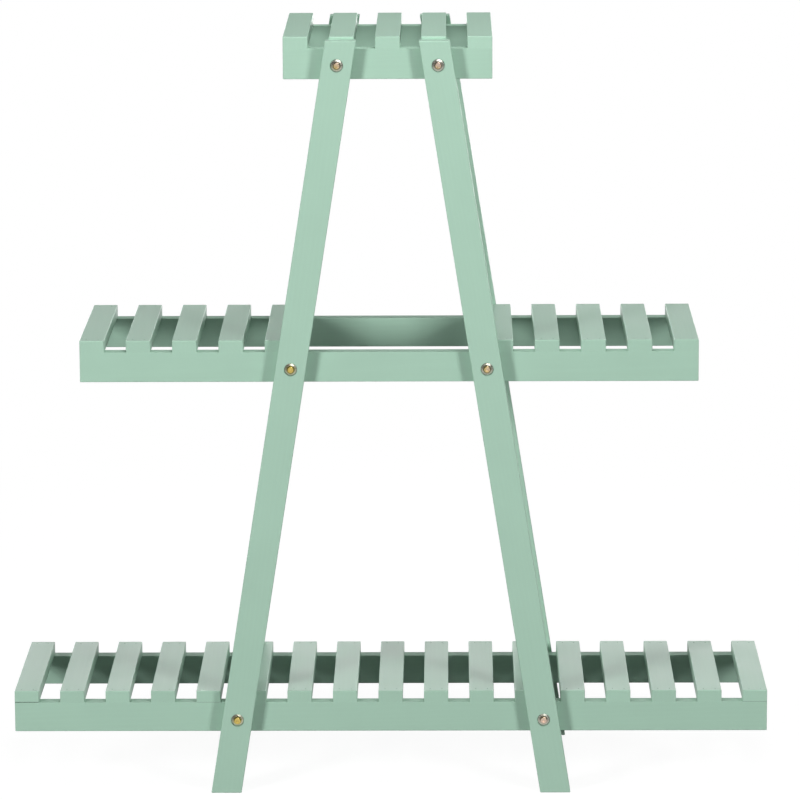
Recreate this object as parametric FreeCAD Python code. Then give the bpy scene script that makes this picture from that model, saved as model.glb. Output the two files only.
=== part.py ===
import FreeCAD, Part
import math
import os

from FreeCAD import Vector

# Plant stand with three slatted shelves between two A-shaped pairs of legs.
# Millimetres, +Z up, +X to the right and -Y to the front.
# The origin is on the floor under the middle of the stand.

# Shelves: lengths along X, depth along Y, heights from the floor to the slats' upper faces
top_length = 260.0
middle_length = 778.0
bottom_length = 960.0
shelf_depth = 250.0
top_height = 968.0
middle_height = 585.0
bottom_height = 130.0

# Open centre of the middle shelf, where a tall plant grows through
well_width = 250.0

# Boards
slat_width = 31.0
slat_thickness = 15.0
rail_height = 38.0
rail_thickness = 18.0
leg_width = 38.0
leg_thickness = 18.0
edge_radius = 1.0

# Slats on the top shelf, on each side of the open centre and on the bottom shelf
top_slat_count = 5
bay_slat_count = 5
bottom_slat_count = 17

# Legs: distance of a leg's centre line from the middle of the stand, at the floor and at its top
foot_offset = 210.0
head_offset = 58.0
leg_top_drop = 3.5

# Button-head bolts with a hexagon socket
bolt_diameter = 6.0
head_diameter = 10.5
head_height = 3.3
head_rim = 1.3
socket_width = 4.0
socket_depth = 2.0
pilot_diameter = 1.6
pilot_depth = 0.9

# Washers under the bolt heads, sunk into the legs, their faces falling a little from the head to the rim
washer_diameter = 15.4
washer_thickness = 1.6
washer_fall = 0.5
washer_round = 0.4
counterbore_depth = 3.2

# Insert nuts in the rails, with wood left behind them, and room in them past the bolts' tips
insert_diameter = 10.0
insert_cover = 5.0
insert_chamfer = 1.0
bolt_tip_gap = 3.0

# Brads that hold each slat down, two at each end, their heads punched below the surface
brad_diameter = 1.5
brad_head_diameter = 2.2
brad_head_height = 0.8
brad_set = 0.6
brad_inset = 8.0
brad_insert_gap = 3.0

# Clearances, each on the radius
washer_clearance = 0.5
leg_hole_clearance = 0.4
thread_clearance = 0.05
press_clearance = 0.05

# Values worked out from the sizes above
half_depth = shelf_depth / 2
leg_top = top_height - leg_top_drop
leg_slope = (foot_offset - head_offset) / leg_top
leg_half_width = leg_width / 2 * math.hypot(1, leg_slope)
leg_face = half_depth + leg_thickness
counterbore_radius = max(washer_diameter, head_diameter) / 2 + washer_clearance
washer_seat = leg_face - counterbore_depth
head_seat = washer_seat + washer_thickness
insert_length = rail_thickness - insert_cover
bolt_length = head_seat - half_depth + insert_length - bolt_tip_gap
brad_bite = rail_height / 2 - insert_diameter / 2 - brad_insert_gap

heights = {"top": top_height, "middle": middle_height, "bottom": bottom_height}
lengths = {"top": top_length, "middle": middle_length, "bottom": bottom_length}
sides = {"left": -1, "right": 1}
faces = {"front": -1, "rear": 1}


def bolt_level(tier):
    """Height of a shelf's bolts, at mid-height of its rails."""
    return heights[tier] - slat_thickness - rail_height / 2


def bolt_offset(tier):
    """Distance of a shelf's bolts from the middle of the stand, on the legs' centre lines."""
    return foot_offset - leg_slope * bolt_level(tier)


def at_bolt(shape, tier, side, face, distance):
    """Turn a shape made along +Z to point out of the front or rear, on the axis of one bolt."""
    placed = shape.copy()
    placed.rotate(Vector(0, 0, 0), Vector(1, 0, 0), -90 * faces[face])
    placed.translate(Vector(sides[side] * bolt_offset(tier), faces[face] * distance, bolt_level(tier)))
    return placed


def at_all_bolts(shape, tier, distance):
    """One copy of a shape at each of the four bolts of a shelf, as a group of solids."""
    return Part.makeCompound([at_bolt(shape, tier, side, face, distance) for face in faces for side in sides])


def at_places(shape, places):
    """One copy of a shape at each of several places."""
    return [shape.translated(place) for place in places]


def ease(board, stays_square):
    """Sand a board's edges round, apart from those that a test on their box keeps square for a joint."""
    eased = [edge for edge in board.Edges if not stays_square(edge.BoundBox)]
    return board.makeFillet(edge_radius, eased)


def slat_places(low, high, count):
    """Centre lines of slats spread evenly from one X to another."""
    pitch = (high - low - slat_width) / (count - 1)
    return [low + slat_width / 2 + pitch * index for index in range(count)]


def brad_places(slat_x):
    """Plan of the four brads of a slat, over the middle of the rails."""
    across = slat_width / 2 - brad_inset
    along = half_depth - rail_thickness / 2
    return [Vector(slat_x + dx, dy, 0) for dy in (-along, along) for dx in (-across, across)]


def brad(tier, clearance=0.0, mouth=0.0):
    """A brad upright at the origin, or, with a clearance and an open mouth, the hole that it leaves."""
    head_top = heights[tier] - brad_set
    head_bottom = head_top - brad_head_height
    tip = heights[tier] - slat_thickness - brad_bite
    head = Part.makeCylinder(
        brad_head_diameter / 2 + clearance, brad_head_height + mouth, Vector(0, 0, head_bottom)
    )
    shank = Part.makeCylinder(brad_diameter / 2 + clearance, head_bottom - tip, Vector(0, 0, tip))
    return head.fuse(shank)


def slat(tier, slat_x):
    """A slat across both rails of a shelf, its ends flush with the rails' outer faces."""
    underside = heights[tier] - slat_thickness
    corner = Vector(slat_x - slat_width / 2, -half_depth, underside)
    board = Part.makeBox(slat_width, shelf_depth, slat_thickness, corner)
    board = ease(board, lambda box: box.ZMax < underside + edge_radius)
    hole = brad(tier, press_clearance, brad_set)
    return board.cut(at_places(hole, brad_places(slat_x)))


def rail(tier, face, slat_xs):
    """A rail along the front or rear of a shelf, bored for its insert nuts and for the slats' brads."""
    upper_face = heights[tier] - slat_thickness
    near = min(faces[face] * half_depth, faces[face] * (half_depth - rail_thickness))
    corner = Vector(-lengths[tier] / 2, near, upper_face - rail_height)
    board = Part.makeBox(lengths[tier], rail_thickness, rail_height, corner)
    board = ease(board, lambda box: box.ZMin > upper_face - edge_radius)
    insert_hole = Part.makeCylinder(insert_diameter / 2 + press_clearance, insert_length)
    holes = [at_bolt(insert_hole, tier, side, face, half_depth - insert_length) for side in sides]
    for slat_x in slat_xs:
        places = [place for place in brad_places(slat_x) if place.y * faces[face] > 0]
        holes += at_places(brad(tier, press_clearance), places)
    return board.cut(holes)


def leg(side, face):
    """A leaning leg, cut level at both ends and bored for the bolt at each shelf."""
    foot_x = sides[side] * foot_offset
    head_x = sides[side] * head_offset
    near = min(faces[face] * half_depth, faces[face] * leg_face)
    corners = [
        Vector(foot_x - leg_half_width, near, 0),
        Vector(foot_x + leg_half_width, near, 0),
        Vector(head_x + leg_half_width, near, leg_top),
        Vector(head_x - leg_half_width, near, leg_top),
    ]
    outline = Part.makePolygon(corners, True)
    board = Part.Face(outline).extrude(Vector(0, leg_thickness, 0))
    board = ease(board, lambda box: False)
    through_hole = Part.makeCylinder(bolt_diameter / 2 + leg_hole_clearance, leg_thickness)
    counterbore = Part.makeCylinder(counterbore_radius, counterbore_depth)
    holes = [at_bolt(through_hole, tier, side, face, half_depth) for tier in heights]
    holes += [at_bolt(counterbore, tier, side, face, washer_seat) for tier in heights]
    return board.cut(holes)


def bolt():
    """A bolt whose head sits on z = 0, its shank pointing down and a pilot hole in its socket's floor."""
    head = Part.makeCylinder(head_diameter / 2, head_height)
    crown = [edge for edge in head.Edges if edge.BoundBox.ZMin > head_height / 2]
    head_round = min(head_height - head_rim, (head_diameter - socket_width) / 2)
    head = head.makeFillet(head_round, crown)
    shank = Part.makeCylinder(bolt_diameter / 2, bolt_length, Vector(0, 0, -bolt_length))
    socket_radius = socket_width / math.sqrt(3)
    socket_floor = head_height - socket_depth
    corners = []
    for angle in range(0, 360, 60):
        turn = math.radians(angle)
        corners.append(Vector(socket_radius * math.cos(turn), socket_radius * math.sin(turn), socket_floor))
    socket = Part.Face(Part.makePolygon(corners, True)).extrude(Vector(0, 0, socket_depth))
    pilot = Part.makeCylinder(pilot_diameter / 2, pilot_depth, Vector(0, 0, socket_floor - pilot_depth))
    return head.fuse(shank).cut([socket, pilot])


def washer():
    """A washer lying on z = 0, flat under the bolt head and falling from there to a rounded rim."""
    rim_height = washer_thickness - washer_fall
    disc = Part.makeCylinder(washer_diameter / 2, rim_height)
    slope = Part.makeCone(washer_diameter / 2, head_diameter / 2, washer_fall, Vector(0, 0, rim_height))
    disc = disc.fuse(slope)
    upper_edges = [edge for edge in disc.Edges if edge.BoundBox.ZMin > rim_height / 2]
    rim = max(upper_edges, key=lambda edge: edge.Length)
    disc = disc.makeFillet(min(washer_round, rim_height / 2), [rim])
    return disc.cut(Part.makeCylinder(bolt_diameter / 2 + leg_hole_clearance, washer_thickness))


def insert_nut():
    """A threaded sleeve with a chamfered inner end on z = 0, and its mouth above."""
    sleeve = Part.makeCylinder(insert_diameter / 2, insert_length)
    inner_end = [edge for edge in sleeve.Edges if edge.BoundBox.ZMax < insert_length / 2]
    sleeve = sleeve.makeChamfer(insert_chamfer, inner_end)
    return sleeve.cut(Part.makeCylinder(bolt_diameter / 2 + thread_clearance, insert_length))


nodes = {}

for face in faces:
    for side in sides:
        nodes[f"{face}_{side}_leg"] = leg(side, face)

# The middle shelf has a row of slats on each side of its open centre, the other shelves one row each.
slat_rows = {
    "top": {"top": slat_places(-top_length / 2, top_length / 2, top_slat_count)},
    "middle": {
        "middle_left": slat_places(-middle_length / 2, -well_width / 2, bay_slat_count),
        "middle_right": slat_places(well_width / 2, middle_length / 2, bay_slat_count),
    },
    "bottom": {"bottom": slat_places(-bottom_length / 2, bottom_length / 2, bottom_slat_count)},
}

for tier, rows in slat_rows.items():
    slat_xs = [slat_x for row in rows.values() for slat_x in row]
    for face in faces:
        nodes[f"{tier}_{face}_rail"] = rail(tier, face, slat_xs)
    for row_name, row in rows.items():
        for number, slat_x in enumerate(row, start=1):
            nodes[f"{row_name}_slat_{number:02d}"] = slat(tier, slat_x)
    brads = []
    for slat_x in slat_xs:
        brads += at_places(brad(tier), brad_places(slat_x))
    nodes[f"{tier}_shelf_brads"] = Part.makeCompound(brads)
    nodes[f"{tier}_shelf_insert_nuts"] = at_all_bolts(insert_nut(), tier, half_depth - insert_length)
    nodes[f"{tier}_shelf_washers"] = at_all_bolts(washer(), tier, washer_seat)
    nodes[f"{tier}_shelf_bolts"] = at_all_bolts(bolt(), tier, head_seat)

os.makedirs("parts", exist_ok=True)
for name, shape in nodes.items():
    shape.exportStep(f"parts/{name}.step")

box = Part.makeCompound(list(nodes.values())).BoundBox
print(f"{len(nodes)} nodes, {box.XLength:.1f} x {box.YLength:.1f} x {box.ZLength:.1f} mm")
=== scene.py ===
# %% [markdown]
# # Dressing a painted plant stand
# The stand is three slatted shelves between two A-shaped pairs of legs, all of solid wood under one coat
# of sage green paint. Its boards, bolts and nails come from a CAD assembly, at their real size, and stay
# where they are. What is left to Blender is how every surface looks: the paint with the wood's grain
# under it, the plated metal, the light of a small studio and the camera.

# %% Load the assembly
import math
import random

import bpy
from mathutils import Euler, Matrix, Vector


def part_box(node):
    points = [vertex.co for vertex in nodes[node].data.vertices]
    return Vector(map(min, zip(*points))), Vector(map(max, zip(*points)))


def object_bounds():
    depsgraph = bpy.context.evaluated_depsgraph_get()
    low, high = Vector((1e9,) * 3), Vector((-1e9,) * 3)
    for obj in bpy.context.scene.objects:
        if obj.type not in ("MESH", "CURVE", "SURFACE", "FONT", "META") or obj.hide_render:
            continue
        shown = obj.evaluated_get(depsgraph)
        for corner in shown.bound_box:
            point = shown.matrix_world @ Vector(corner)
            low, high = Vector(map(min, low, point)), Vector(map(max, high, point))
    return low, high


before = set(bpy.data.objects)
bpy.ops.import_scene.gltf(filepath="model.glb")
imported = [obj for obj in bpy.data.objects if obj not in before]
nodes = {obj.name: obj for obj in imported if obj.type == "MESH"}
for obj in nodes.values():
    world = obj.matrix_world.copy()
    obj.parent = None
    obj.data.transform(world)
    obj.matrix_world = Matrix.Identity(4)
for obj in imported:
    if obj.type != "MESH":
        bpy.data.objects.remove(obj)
cad_low, cad_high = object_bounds()
MM = 0.001
print(f"{len(nodes)} nodes, box {[round(side / MM, 1) for side in cad_high - cad_low]} mm")

# %% [markdown]
# ## Camera
# The photograph was taken from far away with a long lens, a little above the top shelf and almost on the
# middle line. A long lens keeps the shelves' ends nearly parallel, which a short one close by would not,
# so the distance and the focal length are set together. The focal length is known in pixels of the
# picture, and Blender wants millimetres on a sensor, so one is worked out from the other.

# %% Camera
QUARTER_TURN = math.pi / 2
PICTURE_PIXELS = 800
FOCAL_PIXELS = 4598.0
SENSOR_MM = 36.0
CAMERA_PLACE = Vector((0.074, -5.793, 1.674))
CAMERA_HEADING = math.radians(0.61)
CAMERA_TILT = math.radians(-11.62)
CAMERA_ROLL = math.radians(-0.25)

camera_data = bpy.data.cameras.new("camera")
camera_data.sensor_width = SENSOR_MM
camera_data.lens = FOCAL_PIXELS / PICTURE_PIXELS * SENSOR_MM
camera = bpy.data.objects.new("camera", camera_data)
bpy.context.scene.collection.objects.link(camera)
level = Euler((QUARTER_TURN + CAMERA_TILT, 0, CAMERA_HEADING)).to_matrix()
turned = level @ Matrix.Rotation(CAMERA_ROLL, 3, "Z")
camera.matrix_world = Matrix.Translation(CAMERA_PLACE) @ turned.to_4x4()
bpy.context.scene.camera = camera
bpy.context.scene.view_settings.view_transform = "Standard"
print(f"camera with a {camera_data.lens:.0f} mm lens, {-CAMERA_PLACE.y:.2f} m in front of the stand")

# %% [markdown]
# ## Helpers for materials
# Colours are written as the hex values that a paint chart or a picture shows, which are sRGB. Shaders
# work in linear light, so one function turns the one into the other. Shader trees are built from
# nodes, and one small function adds a node, sets it up and links it, which keeps each tree short to read.


# %% Helpers
def linear(hex_colour):
    """A colour such as #A5C6B3 as the linear RGBA that shaders take."""
    shares = [int(hex_colour[place:place + 2], 16) / 255 for place in (1, 3, 5)]
    light = [share / 12.92 if share <= 0.04045 else ((share + 0.055) / 1.055) ** 2.4 for share in shares]
    return (*light, 1.0)


def add_node(tree, kind, inputs=(), **settings):
    """Add a node and give back its outputs. Inputs are values or links, in order or by identifier."""
    node = tree.nodes.new("ShaderNode" + kind)
    for name, value in settings.items():
        setattr(node, name, value)
    sockets = {socket.identifier: socket for socket in node.inputs}
    named_inputs = inputs if isinstance(inputs, dict) else dict(zip(sockets, inputs))
    for identifier, value in named_inputs.items():
        if isinstance(value, bpy.types.NodeSocket):
            tree.links.new(value, sockets[identifier])
        else:
            sockets[identifier].default_value = value
    return node.outputs


def empty_tree(owner):
    """The node tree of a material or world, with nothing in it."""
    owner.use_nodes = True
    owner.node_tree.nodes.clear()
    return owner.node_tree


print("sage green in linear light:", [round(value, 3) for value in linear("#A5C6B3")[:3]])

# %% [markdown]
# ## Studio: white surroundings
# The stand was photographed in front of white, with no horizon. The surroundings have three jobs, and
# Light Path tells them apart. To rays from the camera they are plain white. To the paint's own shading
# they are only a weak fill from all sides. To rays that are mirrored by metal or paint they are the
# studio: the lit floor in front, a bright window above the camera, a dim backdrop, and between them a
# dark room. Without something dark to mirror, a round bolt head in a white room is one pale disc.
#
# A patch of brightness is drawn from how far a direction lies from the patch's middle, and the lit floor
# is a flat patch, since it is seen at a low angle.

# %% Studio surroundings
WHITE = (1.0, 1.0, 1.0, 1.0)
FILL_STRENGTH = 0.05
DARK_ROOM = 0.15
BACKDROP_GLOW = 0.35
# How far back a direction points where the dark room ends, and where the backdrop is at its brightest
BACKDROP_START = (-0.25, -0.05)
# A spread is the distance from a patch's middle where it fades out, and the one where it is full.
LIT_FLOOR_MIDDLE = Vector((0, -0.951, -0.309))
LIT_FLOOR_FLATNESS = 1.4
LIT_FLOOR_SPREAD = (0.5, 0.3)
LIT_FLOOR_GLOW = 1.0
WINDOW_MIDDLE = Vector((0.14, -0.94, 0.31)).normalized()
WINDOW_FLATNESS = 1.0
WINDOW_SPREAD = (0.2, 0.1)
WINDOW_GLOW = 8.0

world = bpy.data.worlds.new("white_studio")
bpy.context.scene.world = world
tree = empty_tree(world)
path = add_node(tree, "LightPath")
direction = add_node(tree, "TexCoord")["Generated"]
backwards = add_node(tree, "SeparateXYZ", [direction])["Y"]
room = add_node(tree, "MapRange", [backwards, *BACKDROP_START, DARK_ROOM, BACKDROP_GLOW])[0]
for middle, flatness, spread, glow in (
    (LIT_FLOOR_MIDDLE, LIT_FLOOR_FLATNESS, LIT_FLOOR_SPREAD, LIT_FLOOR_GLOW),
    (WINDOW_MIDDLE, WINDOW_FLATNESS, WINDOW_SPREAD, WINDOW_GLOW),
):
    off = add_node(tree, "VectorMath", [direction, middle], operation="SUBTRACT")[0]
    off = add_node(tree, "VectorMath", [off, (1, 1, flatness)], operation="MULTIPLY")[0]
    off = add_node(tree, "VectorMath", [off], operation="LENGTH")["Value"]
    patch = add_node(tree, "MapRange", [off, *spread, 0, glow], interpolation_type="SMOOTHSTEP")[0]
    room = add_node(tree, "Math", [room, patch], operation="MAXIMUM")[0]
looks = add_node(tree, "Math", [path["Is Camera Ray"], path["Is Transmission Ray"]], operation="MAXIMUM")[0]
seen = add_node(tree, "Mix", {"Factor_Float": looks, "A_Float": FILL_STRENGTH, "B_Float": 1.0})[0]
light = add_node(tree, "Mix", {"Factor_Float": path["Is Glossy Ray"], "A_Float": seen, "B_Float": room})[0]
surroundings = add_node(tree, "Background", {"Color": WHITE, "Strength": light})[0]
add_node(tree, "OutputWorld", {"Surface": surroundings})
print(f"white studio, fill {FILL_STRENGTH}")

# %% [markdown]
# ## Studio: a floor of white paper
# The floor does the same three jobs. To the camera it glows as white as the surroundings, with a thin
# share of real shading left in close to the stand, so that the shadow stays on it. Further away the
# shading fades out, and with it any edge between the floor and the white behind. To mirrored rays the
# paper ends a little in front of the stand, and those that miss it go on to the lit studio floor. So only
# the lowest bolts show white paper in the lower half of their heads.

# %% Floor
FLOOR_GLOW = 0.93
FLOOR_SHADED_SHARE = 0.14
FLOOR_BOUNCE = 0.08
FLOOR_HALF_WIDTH = 40.0
# A hair under the feet, so that no face of a foot lies in the floor's own plane
FLOOR_DROP = 0.2 * MM
SHADOW_REACH = (0.9, 1.9)
PAPER_FRONT = (-0.33, -0.27)
PAPER_GLOW = 0.8

floor_mesh = bpy.data.meshes.new("studio_floor")
corners = [(x, y, 0) for x, y in ((-1, -1), (1, -1), (1, 1), (-1, 1))]
floor_mesh.from_pydata([Vector(corner) * FLOOR_HALF_WIDTH for corner in corners], [], [(0, 1, 2, 3)])
floor = bpy.data.objects.new("studio_floor", floor_mesh)
floor.location.z = cad_low.z - FLOOR_DROP
bpy.context.scene.collection.objects.link(floor)

floor_paper = bpy.data.materials.new("white_background_paper")
tree = empty_tree(floor_paper)
path = add_node(tree, "LightPath")
place = add_node(tree, "TexCoord")["Object"]
away = add_node(tree, "VectorMath", [place], operation="LENGTH")["Value"]
far = add_node(tree, "MapRange", [away, *SHADOW_REACH, 0, 1], interpolation_type="SMOOTHSTEP")[0]
depth = add_node(tree, "SeparateXYZ", [place])["Y"]
glow = add_node(tree, "Mix", {"Factor_Float": far, "A_Float": FLOOR_GLOW, "B_Float": 1.0})[0]
glowing = add_node(tree, "Emission", {"Color": WHITE, "Strength": glow})[0]
share = add_node(tree, "MapRange", [far, 0, 1, FLOOR_SHADED_SHARE, 0])[0]
shaded = add_node(tree, "BsdfDiffuse", {"Color": share})[0]
seen_floor = add_node(tree, "AddShader", [glowing, shaded])[0]
bounce = add_node(tree, "BsdfDiffuse", {"Color": (*[FLOOR_BOUNCE] * 3, 1)})[0]
looks = add_node(tree, "Math", [path["Is Camera Ray"], path["Is Transmission Ray"]], operation="MAXIMUM")[0]
finish = add_node(tree, "MixShader", [looks, bounce, seen_floor])[0]
paper = add_node(tree, "MapRange", [depth, *PAPER_FRONT, 0, 1], interpolation_type="SMOOTHSTEP")[0]
nothing = add_node(tree, "BsdfTransparent")[0]
paper_image = add_node(tree, "Emission", {"Color": WHITE, "Strength": PAPER_GLOW})[0]
mirrored_floor = add_node(tree, "MixShader", [paper, nothing, paper_image])[0]
finish = add_node(tree, "MixShader", [path["Is Glossy Ray"], finish, mirrored_floor])[0]
add_node(tree, "OutputMaterial", {"Surface": finish})
floor_mesh.materials.append(floor_paper)
print(f"floor {2 * FLOOR_HALF_WIDTH:.0f} m wide, its shadow fades out {SHADOW_REACH[1]} m from the stand")

# %% [markdown]
# ## Lamps
# The legs throw a soft shadow on the rails on both of their sides, about as wide as the legs are thick,
# and darker on the right. So there are two soft boxes in front, one on each side at about 40 degrees, the
# left one stronger, and neither is far above the stand. A third hangs overhead, close to the top shelf
# and a little to the right. Its light falls off quickly on the way down, so the gaps of the top shelf are
# light and those of the bottom shelf dark. A weak one in front of the top shelf does the same for the
# legs' shadows, which are palest at the top. Low behind stands a lit backdrop, and slats seen at a low
# angle mirror it, which is why the lower ones look paler and greyer than the rails.
#
# Area lamps are the ones to use, since the blur of their shadows comes from their size. A lamp's power
# is worked out from the share of full light that it should give to a face turned to it. Of the lamps only
# the backdrop shows as a mirror image. The others stay out of it, since what the metal mirrors is drawn in
# the surroundings already.

# %% Lamps
AIM = Vector((0, 0, 0.5))


def soft_box(name, azimuth, elevation, distance, size, share, mirrored=False):
    """A soft box aimed at the stand, which gives a share of full light and may show as a mirror image."""
    lamp_data = bpy.data.lights.new(name, "AREA")
    lamp_data.shape = "RECTANGLE"
    lamp_data.size, lamp_data.size_y = size
    # P watts put P / (pi * distance ** 2) on a face turned to the lamp, and a white one sends back
    # 1 / pi of that, so full light, at which white looks white, takes pi ** 2 * distance ** 2 watts.
    lamp_data.energy = share * math.pi ** 2 * distance ** 2
    lamp = bpy.data.objects.new(name, lamp_data)
    turn, rise = math.radians(azimuth), math.radians(elevation)
    outwards = Vector((math.sin(turn) * math.cos(rise), -math.cos(turn) * math.cos(rise), math.sin(rise)))
    lamp.location = AIM + outwards * distance
    lamp.rotation_mode = "QUATERNION"
    lamp.rotation_quaternion = outwards.to_track_quat("Z", "Y")
    lamp.visible_camera = False
    lamp.visible_glossy = mirrored
    bpy.context.scene.collection.objects.link(lamp)
    print(f"{name}: {lamp_data.energy:.0f} W at {[round(value, 2) for value in lamp.location]}")


soft_box("soft_box_left", azimuth=-40, elevation=12, distance=3.6, size=(0.7, 1.1), share=0.66)
soft_box("soft_box_right", azimuth=40, elevation=12, distance=3.6, size=(0.7, 1.1), share=0.5)
soft_box("soft_box_above", azimuth=60, elevation=83, distance=1.8, size=(1.2, 0.9), share=0.47)
soft_box("soft_box_front", azimuth=10, elevation=62, distance=1.15, size=(0.9, 0.5), share=0.09)
soft_box("backdrop", azimuth=180, elevation=2, distance=2.8, size=(3.0, 0.7), share=0.31, mirrored=True)

# %% [markdown]
# ## Boards
# Each board was cut from another piece of wood and painted by hand, so no two look quite alike. What
# differs is kept on the boards themselves, as properties: where a board lies, how large it is, where the
# middle of its tree was, how its paint came out, and how wide the joint under it stands open. One
# material can then read them, board by board, and nothing has to be drawn twice.
#
# A board has its own directions, length, width and thickness. For a leg they follow from its mesh, where
# the foot and the head give the lean.

# %% Boards
WOOD_SEED = 11
PITH_DISTANCE = (22 * MM, 75 * MM)
# The stretch of trunk, in metres either way, out of which each board takes its own piece of grain
TRUNK_REACH = 2
PAINT_TONE = 0.935
TONE_SPREAD = {"slat": 0.04, "rail": 0.015, "left_leg": 0.015, "right_leg": 0.015}
# How high the painted shade of the joint under a slat's ends reaches: a hairline where it is tight, more
# where it stands open
TIGHT_JOINT = 0.05 * MM
OPEN_JOINTS = {"bottom_slat_01": 0.8 * MM, "bottom_slat_17": 0.35 * MM, "bottom_slat_05": 0.3 * MM}


def lie_of(leg):
    """The lean of a leg to the right, and half its width square to its length."""
    low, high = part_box(leg)
    places = [vertex.co for vertex in nodes[leg].data.vertices]
    ends = [[place.x for place in places if abs(place.z - level) < MM] for level in (low.z, high.z)]
    foot, head = [(min(xs) + max(xs)) / 2 for xs in ends]
    lean = math.atan2(head - foot, high.z - low.z)
    level_width = high.x - low.x - abs(head - foot)
    return lean, level_width / 2 * math.cos(lean)


def kind_of(board):
    """The kind of a board, from its name."""
    if "_slat_" in board:
        return "slat"
    return "rail" if board.endswith("_rail") else board.split("_", 1)[1]


chance = random.Random(WOOD_SEED)
boards = sorted(name for name in nodes if name.endswith(("_leg", "_rail")) or "_slat_" in name)
for name in boards:
    low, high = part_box(name)
    half = (high - low) / 2
    half_sizes = {"slat": (half.y, half.x, half.z), "rail": (half.x, half.z, half.y)}
    kind = kind_of(name)
    around = chance.uniform(0, math.tau)
    away = chance.uniform(*PITH_DISTANCE)
    board = nodes[name]
    board["middle"] = list((low + high) / 2)
    board["half_size"] = half_sizes[kind] if kind in half_sizes else (half.z, lie_of(name)[1], half.y)
    along = chance.uniform(-TRUNK_REACH, TRUNK_REACH)
    board["pith"] = (along, away * math.cos(around), away * math.sin(around))
    board["tone"] = PAINT_TONE + chance.uniform(-1, 1) * TONE_SPREAD[kind]
    board["joint_gap"] = OPEN_JOINTS.get(name, TIGHT_JOINT) if kind == "slat" else 0.0
leans = [round(math.degrees(lie_of(name)[0]), 1) for name in boards if name.endswith("_leg")]
print(f"{len(boards)} boards, legs lean {leans} degrees to the right")

# %% [markdown]
# ## Painted wood
# The boards are planed softwood, sanded, put together and then sprayed with one coat of satin acrylic
# paint. To the eye that is an even, dull green which turns pale where it is seen at a low angle, as on
# the slats. Close up, the growth rings still show through the thin coat as faint ridges, the fibres as
# streaks, and the spray leaves a fine pebbled skin. Along the sanded edges the coat is thinner and a
# little paler. The rails were left as sawn, so their paint is duller and mirrors less where it is seen
# between the slats.
#
# The grain could be painted on each face, but then it would not meet at the edges. So the pattern is
# solid: rings round the middle of the tree, drawn out along the board, and every face cuts through them
# as a saw would. That gives long lines on the faces and arcs on the ends. A board is a box, so the
# distance to its nearest edge is the second smallest of the distances to its faces.

# %% Painted wood
PAINT = "#A5C6B3"
# The colour of the painted shade in the joints under the slats' ends
JOINT_SHADE = "#2E4236"
PAINT_IOR = 1.5
PAINT_ROUGHNESS = 0.42
SAWN_ROUGHNESS = 0.62
ROUGHNESS_DRIFT = 0.14
RING_WIDTH = 5.5 * MM
# At a scale of 1, the rings of Blender's wave texture are this far apart.
WAVE_SPACING = math.pi / 10
RING_WAVINESS = {"Distortion": 5.0, "Detail Scale": 0.5}
# Raising the wave to a power narrows the hard late wood of each ring to a thin line.
LATE_WOOD_POWER = 2.5
GRAIN_STRETCH = 25.0
GRAIN_TILT = (0.0, math.radians(0.8), math.radians(1.2))
# Wood fibres are finer than a tenth of this, but the picture shows nothing under about 2 mm.
STREAK_WIDTH = 2.4 * MM
# The skin of sprayed paint has bumps of about 1 mm, drawn twice as coarse to show.
PEBBLE_WIDTH = 2.2 * MM
MOTTLE_WIDTH = 70 * MM
MOTTLE_DETAIL = 3.0
EDGE_WIDTH = 2.0 * MM
JOINT_DEPTH = 0.3 * MM
RELIEF_DEPTH = 0.05 * MM
# How much each pattern lightens the paint, and its share of the relief
LIGHTENING = {"rings": 0.012, "streaks": 0.03, "mottle": 0.08, "edges": 0.06}
RELIEF = {"rings": 0.15, "streaks": 0.25, "pebbles": 0.3}


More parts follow.
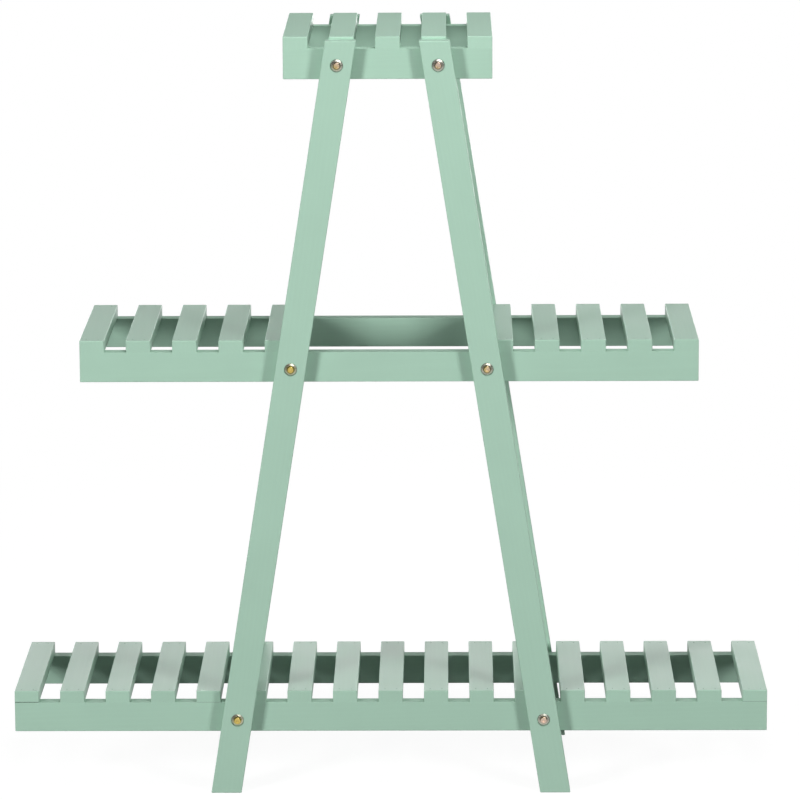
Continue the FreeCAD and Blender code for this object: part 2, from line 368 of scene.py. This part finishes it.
def painted_wood(name, turn, ends_along, dullness=PAINT_ROUGHNESS):
    """Paint on softwood. A turn lays the board's length along X, and ends_along is where its ends face."""
    wood = bpy.data.materials.new(name)
    tree = empty_tree(wood)
    facts = {
        fact: add_node(tree, "Attribute", attribute_type="OBJECT", attribute_name=fact)
        for fact in ("middle", "half_size", "pith", "tone", "joint_gap")
    }
    place = add_node(tree, "TexCoord")["Object"]
    offset = add_node(tree, "VectorMath", [place, facts["middle"]["Vector"]], operation="SUBTRACT")[0]
    laid = add_node(tree, "Mapping", {"Vector": offset, "Rotation": turn}, vector_type="TEXTURE")[0]

    # Distances to the ends, the sides and the faces, and from them the one to the nearest edge
    reach = add_node(tree, "VectorMath", [offset, ends_along], operation="DOT_PRODUCT")["Value"]
    across = add_node(tree, "SeparateXYZ", [laid])
    boxed = add_node(tree, "CombineXYZ", [reach, across["Y"], across["Z"]])[0]
    boxed = add_node(tree, "VectorMath", [boxed], operation="ABSOLUTE")[0]
    inside = add_node(tree, "VectorMath", [facts["half_size"]["Vector"], boxed], operation="SUBTRACT")[0]
    to_end, to_side, to_face = add_node(tree, "SeparateXYZ", [inside])
    nearer = add_node(tree, "Math", [to_end, to_side], operation="MINIMUM")[0]
    further = add_node(tree, "Math", [to_end, to_side], operation="MAXIMUM")[0]
    further = add_node(tree, "Math", [further, to_face], operation="MINIMUM")[0]
    to_edge = add_node(tree, "Math", [nearer, further], operation="MAXIMUM")[0]

    # Patterns, each from 0 to 1
    from_pith = add_node(tree, "VectorMath", [laid, facts["pith"]["Vector"]], operation="ADD")[0]
    drawn = {"Vector": from_pith, "Rotation": GRAIN_TILT, "Scale": (GRAIN_STRETCH, 1, 1)}
    grain = add_node(tree, "Mapping", drawn, vector_type="TEXTURE")[0]
    ringed = {"Vector": grain, "Scale": WAVE_SPACING / RING_WIDTH, **RING_WAVINESS}
    rings = add_node(tree, "TexWave", ringed, wave_type="RINGS", rings_direction="X")["Fac"]
    rings = add_node(tree, "Math", [rings, LATE_WOOD_POWER], operation="POWER")[0]
    streaks = add_node(tree, "TexNoise", {"Vector": grain, "Scale": 1 / STREAK_WIDTH})[0]
    pebbles = add_node(tree, "TexNoise", {"Vector": laid, "Scale": 1 / PEBBLE_WIDTH})[0]
    mottled = {"Vector": from_pith, "Scale": 1 / MOTTLE_WIDTH, "Detail": MOTTLE_DETAIL}
    mottle = add_node(tree, "TexNoise", mottled)[0]
    worn = add_node(tree, "Math", [pebbles, EDGE_WIDTH], operation="MULTIPLY")[0]
    edges = add_node(tree, "MapRange", [to_edge, worn, 0.0, 0, 1], interpolation_type="SMOOTHSTEP")[0]
    patterns = {"rings": rings, "streaks": streaks, "pebbles": pebbles, "mottle": mottle, "edges": edges}

    # Colour of the coat, with painted shade in the joint under each end of a slat, a hairline where it is
    # tight and wider where it stands open
    shade = facts["tone"]["Fac"]
    for pattern, share in LIGHTENING.items():
        shade = add_node(tree, "Math", [patterns[pattern], share, shade], operation="MULTIPLY_ADD")[0]
    green = add_node(tree, "HueSaturation", {"Color": linear(PAINT), "Value": shade})[0]
    above_joint = add_node(tree, "VectorMath", [facts["half_size"]["Vector"], laid], operation="ADD")[0]
    above_joint = add_node(tree, "SeparateXYZ", [above_joint])["Z"]
    open_joint = add_node(tree, "Math", [above_joint, facts["joint_gap"]["Fac"]], operation="LESS_THAN")[0]
    at_end = add_node(tree, "Math", [to_end, JOINT_DEPTH], operation="LESS_THAN")[0]
    # Where the painted joint shade goes: low on a slat's end, within the joint's height
    dark = add_node(tree, "Math", [open_joint, at_end], operation="MULTIPLY")[0]
    mixed = {"Factor_Float": dark, "A_Color": green, "B_Color": linear(JOINT_SHADE)}
    colour = add_node(tree, "Mix", mixed, data_type="RGBA")[2]

    # Shine and relief of the coat
    uneven = [mottle, ROUGHNESS_DRIFT, dullness - ROUGHNESS_DRIFT / 2]
    roughness = add_node(tree, "Math", uneven, operation="MULTIPLY_ADD")[0]
    relief = 0.0
    for pattern, share in RELIEF.items():
        relief = add_node(tree, "Math", [patterns[pattern], share, relief], operation="MULTIPLY_ADD")[0]
    bumps = add_node(tree, "Bump", {"Height": relief, "Strength": 1.0, "Distance": RELIEF_DEPTH})[0]
    coat = {"Base Color": colour, "Roughness": roughness, "IOR": PAINT_IOR, "Normal": bumps}
    paint = add_node(tree, "BsdfPrincipled", coat)[0]
    add_node(tree, "OutputMaterial", {"Surface": paint})
    return wood


woods = {
    "slat": painted_wood("painted_softwood_slat", (0, 0, QUARTER_TURN), (0, 1, 0)),
    "rail": painted_wood("painted_softwood_rail", (QUARTER_TURN, 0, 0), (1, 0, 0), SAWN_ROUGHNESS),
}
for side in ("left_leg", "right_leg"):
    leaning = (QUARTER_TURN, lie_of(f"front_{side}")[0] - QUARTER_TURN, 0)
    woods[side] = painted_wood(f"painted_softwood_{side}", leaning, (0, 0, 1))
for name in boards:
    nodes[name].material_slots[0].material = woods[kind_of(name)]
print(f"{len(boards)} boards painted with {len(woods)} materials")

# %% [markdown]
# ## Plated steel
# The bolts are steel with a yellow passivated zinc coat, the washers and insert nuts plain zinc, and
# the brads drawn steel in a dark grey, so that their heads show as dark dots. Zinc plating is
# fine-grained and not quite mirror bright. The yellow coat is so thin that its colour drifts between
# gold and a pinkish grey with its thickness, from one bolt to the next, which a slow noise gives.

# %% Plated steel
SHELVES = ("top", "middle", "bottom")
PLATING_DRIFT = 30 * MM
# The part of the noise's range between one shade and the other, since it seldom leaves its middle
PLATING_RANGE = (0.38, 0.62)
# A place in the noise, picked so that the gold and the pinkish bolts fall about as in the picture
PLATING_BATH = 8.5
# The crystals of plated zinc are far finer than this, which is drawn coarse enough to break up a highlight.
PLATING_GRAIN = 0.5 * MM
SHINE_DRIFT = 0.1


def plated_steel(name, colours, roughness):
    """Metal whose colour drifts between two shades, with a finely uneven shine."""
    metal = bpy.data.materials.new(name)
    tree = empty_tree(metal)
    place = add_node(tree, "TexCoord")["Object"]
    drifting = {"Vector": place, "W": PLATING_BATH, "Scale": 1 / PLATING_DRIFT}
    drift = add_node(tree, "TexNoise", drifting, noise_dimensions="4D")[0]
    share = add_node(tree, "MapRange", [drift, *PLATING_RANGE], interpolation_type="SMOOTHSTEP")[0]
    mixed = {"Factor_Float": share, "A_Color": linear(colours[0]), "B_Color": linear(colours[1])}
    colour = add_node(tree, "Mix", mixed, data_type="RGBA")[2]
    grain = add_node(tree, "TexNoise", {"Vector": place, "Scale": 1 / PLATING_GRAIN})[0]
    uneven = [grain, SHINE_DRIFT, roughness - SHINE_DRIFT / 2]
    shine = add_node(tree, "Math", uneven, operation="MULTIPLY_ADD")[0]
    steel = add_node(tree, "BsdfPrincipled", {"Base Color": colour, "Metallic": 1.0, "Roughness": shine})[0]
    add_node(tree, "OutputMaterial", {"Surface": steel})
    return metal


finishes = {
    "bolts": plated_steel("yellow_zinc_plated_steel", ("#D2BC6C", "#D2BBAA"), roughness=0.2),
    "washers": plated_steel("zinc_plated_steel", ("#D4D2BA", "#D2D2C6"), roughness=0.26),
    "insert_nuts": plated_steel("dull_zinc_plated_steel", ("#B4B6B8", "#A9ABAA"), roughness=0.35),
    # The brads get a dark grey, darker than bare steel, so that their heads show as dark dots.
    "brads": plated_steel("drawn_steel", ("#7C817C", "#8A8C8A"), roughness=0.45),
}
for shelf in SHELVES:
    for kind, metal in finishes.items():
        nodes[f"{shelf}_shelf_{kind}"].material_slots[0].material = metal
print(f"{len(finishes)} metal finishes on {len(SHELVES) * len(finishes)} groups of fasteners")
